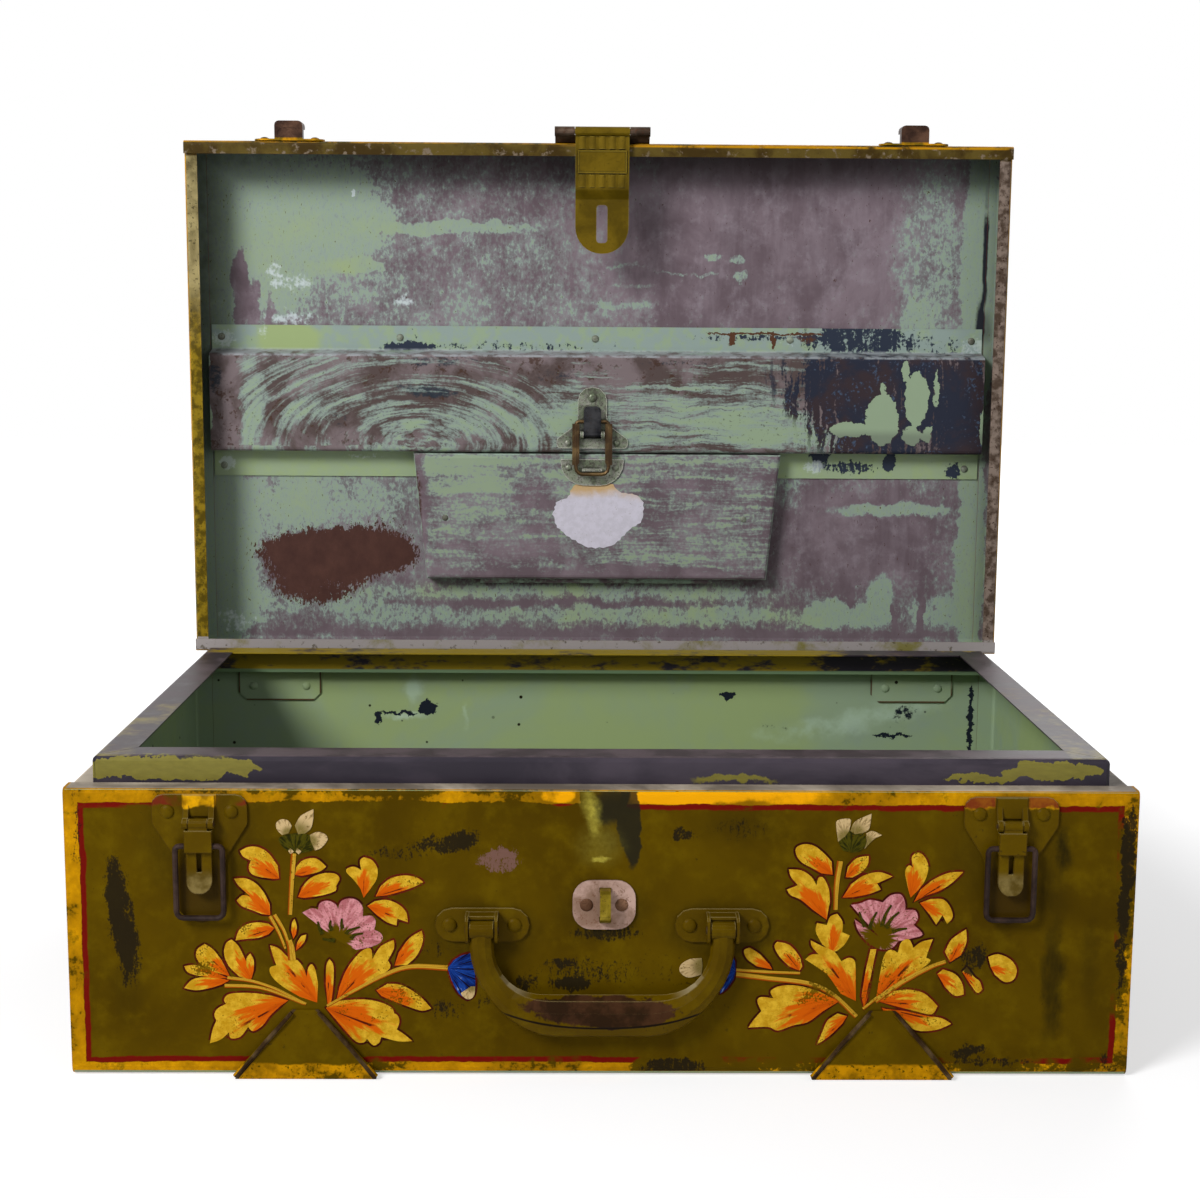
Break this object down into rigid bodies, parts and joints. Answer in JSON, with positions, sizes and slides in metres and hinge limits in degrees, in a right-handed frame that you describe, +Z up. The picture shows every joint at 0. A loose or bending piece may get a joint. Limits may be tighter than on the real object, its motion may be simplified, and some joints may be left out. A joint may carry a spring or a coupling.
{
  "type": "metal travel trunk",
  "caption": "Painted sheet-steel travel trunk with hinged lid, draw latches, lock hasp, carrying handle and a latched document pocket in the lid, standing open.",
  "frame": {"origin": "centre of the base's flat bottom, on the surface that the trunk stands on", "axes": "+Z up, -Y out of the trunk's front, +X to the right as seen from the front"},
  "size_m": [0.61, 0.4449, 0.573],
  "materials": {
    "olive_paint": "worn olive enamel with a yellow border, a dark red line and painted flower sprays",
    "neck_paint": "worn blue-black and mauve enamel",
    "inner_paint": "pale green enamel worn to a mauve-grey undercoat",
    "rail_paint": "pale green enamel, scuffed and streaked",
    "dark_steel": "browned, lightly rusted steel",
    "plated_steel": "dull plated steel, tarnished",
    "bare_steel": "bare pinkish steel, dull"
  },
  "bodies": {
    "base": {"base_wrap": "olive_paint", "base_end_left": "olive_paint", "base_end_right": "olive_paint", "neck_front": "neck_paint", "neck_back": "neck_paint", "neck_left": "neck_paint", "neck_right": "neck_paint", "foot_front_left": "olive_paint", "foot_front_right": "olive_paint", "foot_back_left": "olive_paint", "foot_back_right": "olive_paint", "hinge_backing_left": "inner_paint", "hinge_backing_right": "inner_paint", "hinge_base_leaf_left": "dark_steel", "hinge_base_leaf_right": "dark_steel", "hinge_pin_left": "dark_steel", "hinge_pin_right": "dark_steel", "latch_plate_left": "olive_paint", "latch_plate_right": "olive_paint", "latch_pin_left": "dark_steel", "latch_pin_right": "dark_steel", "staple_plate": "bare_steel", "lock_staple": "bare_steel", "handle_bracket_left": "olive_paint", "handle_bracket_right": "olive_paint", "handle_pin_left": "dark_steel", "handle_pin_right": "dark_steel"},
    "lid": {"lid_wrap": "inner_paint", "lid_end_left": "inner_paint", "lid_end_right": "inner_paint", "hinge_lid_leaf_left": "dark_steel", "hinge_lid_leaf_right": "dark_steel", "lid_catch_left": "dark_steel", "lid_catch_right": "dark_steel", "hasp_leaf": "dark_steel", "pocket_rail": "rail_paint", "pocket_hinge_leaf": "rail_paint", "pocket_hinge_pin": "dark_steel", "pocket_latch_plate": "plated_steel", "pocket_latch_pin": "dark_steel"},
    "hasp_pin": {"hasp_pin": "dark_steel"},
    "hasp": {"hasp_strap": "olive_paint"},
    "latch_lever_left": {"latch_lever_left": "olive_paint"},
    "latch_lever_right": {"latch_lever_right": "olive_paint"},
    "latch_bail_left": {"latch_bail_left": "dark_steel"},
    "latch_bail_right": {"latch_bail_right": "dark_steel"},
    "handle": {"handle_bail": "olive_paint"},
    "flap": {"pocket_flap": "rail_paint", "pocket_catch": "plated_steel"},
    "pocket_lever": {"pocket_latch_lever": "dark_steel"},
    "pocket_bail": {"pocket_latch_bail": "dark_steel"}
  },
  "joints": [
    {"name": "lid_hinge", "type": "hinge", "parent": "base", "child": "lid", "pos_m": [0, 0.198, 0.1705], "axis": [1, 0, 0], "range_deg": [0, 90]},
    {"name": "hasp_plumb", "type": "hinge", "parent": "lid", "child": "hasp_pin", "pos_m": [0.002, 0.194, 0.5665], "axis": [1, 0, 0], "range_deg": [-99, 0]},
    {"name": "hasp_swing", "type": "hinge", "parent": "hasp_pin", "child": "hasp", "pos_m": [0.002, 0.194, 0.5665], "axis": [1, 0, 0], "range_deg": [-100, 9]},
    {"name": "left_lever", "type": "hinge", "parent": "base", "child": "latch_lever_left", "pos_m": [-0.228, -0.1956, 0.151], "axis": [1, 0, 0], "range_deg": [-150, 0]},
    {"name": "right_lever", "type": "hinge", "parent": "base", "child": "latch_lever_right", "pos_m": [0.232, -0.1956, 0.151], "axis": [1, 0, 0], "range_deg": [-150, 0]},
    {"name": "left_bail", "type": "hinge", "parent": "latch_lever_left", "child": "latch_bail_left", "pos_m": [-0.228, -0.1956, 0.138], "axis": [-1, 0, 0], "range_deg": [0, 178]},
    {"name": "right_bail", "type": "hinge", "parent": "latch_lever_right", "child": "latch_bail_right", "pos_m": [0.232, -0.1956, 0.138], "axis": [-1, 0, 0], "range_deg": [0, 178]},
    {"name": "handle_swing", "type": "hinge", "parent": "base", "child": "handle", "pos_m": [0, -0.1995, 0.091], "axis": [-1, 0, 0], "range_deg": [0, 95]},
    {"name": "flap_hinge", "type": "hinge", "parent": "lid", "child": "flap", "pos_m": [0, 0.2323, 0.2297], "axis": [1, 0, 0], "range_deg": [0, 42]},
    {"name": "pocket_lever_turn", "type": "hinge", "parent": "lid", "child": "pocket_lever", "pos_m": [-0.004, 0.2158, 0.3435], "axis": [1, 0, 0], "range_deg": [0, 168]},
    {"name": "pocket_bail_turn", "type": "hinge", "parent": "pocket_lever", "child": "pocket_bail", "pos_m": [-0.004, 0.2158, 0.3535], "axis": [-1, 0, 0], "range_deg": [0, 294]}
  ],
  "couplings": [
    {"joint": "hasp_plumb", "follows": "lid_hinge", "ratio": -1.1},
    {"joint": "pocket_lever_turn", "follows": "flap_hinge", "ratio": 4},
    {"joint": "pocket_bail_turn", "follows": "flap_hinge", "ratio": 7}
  ]
}
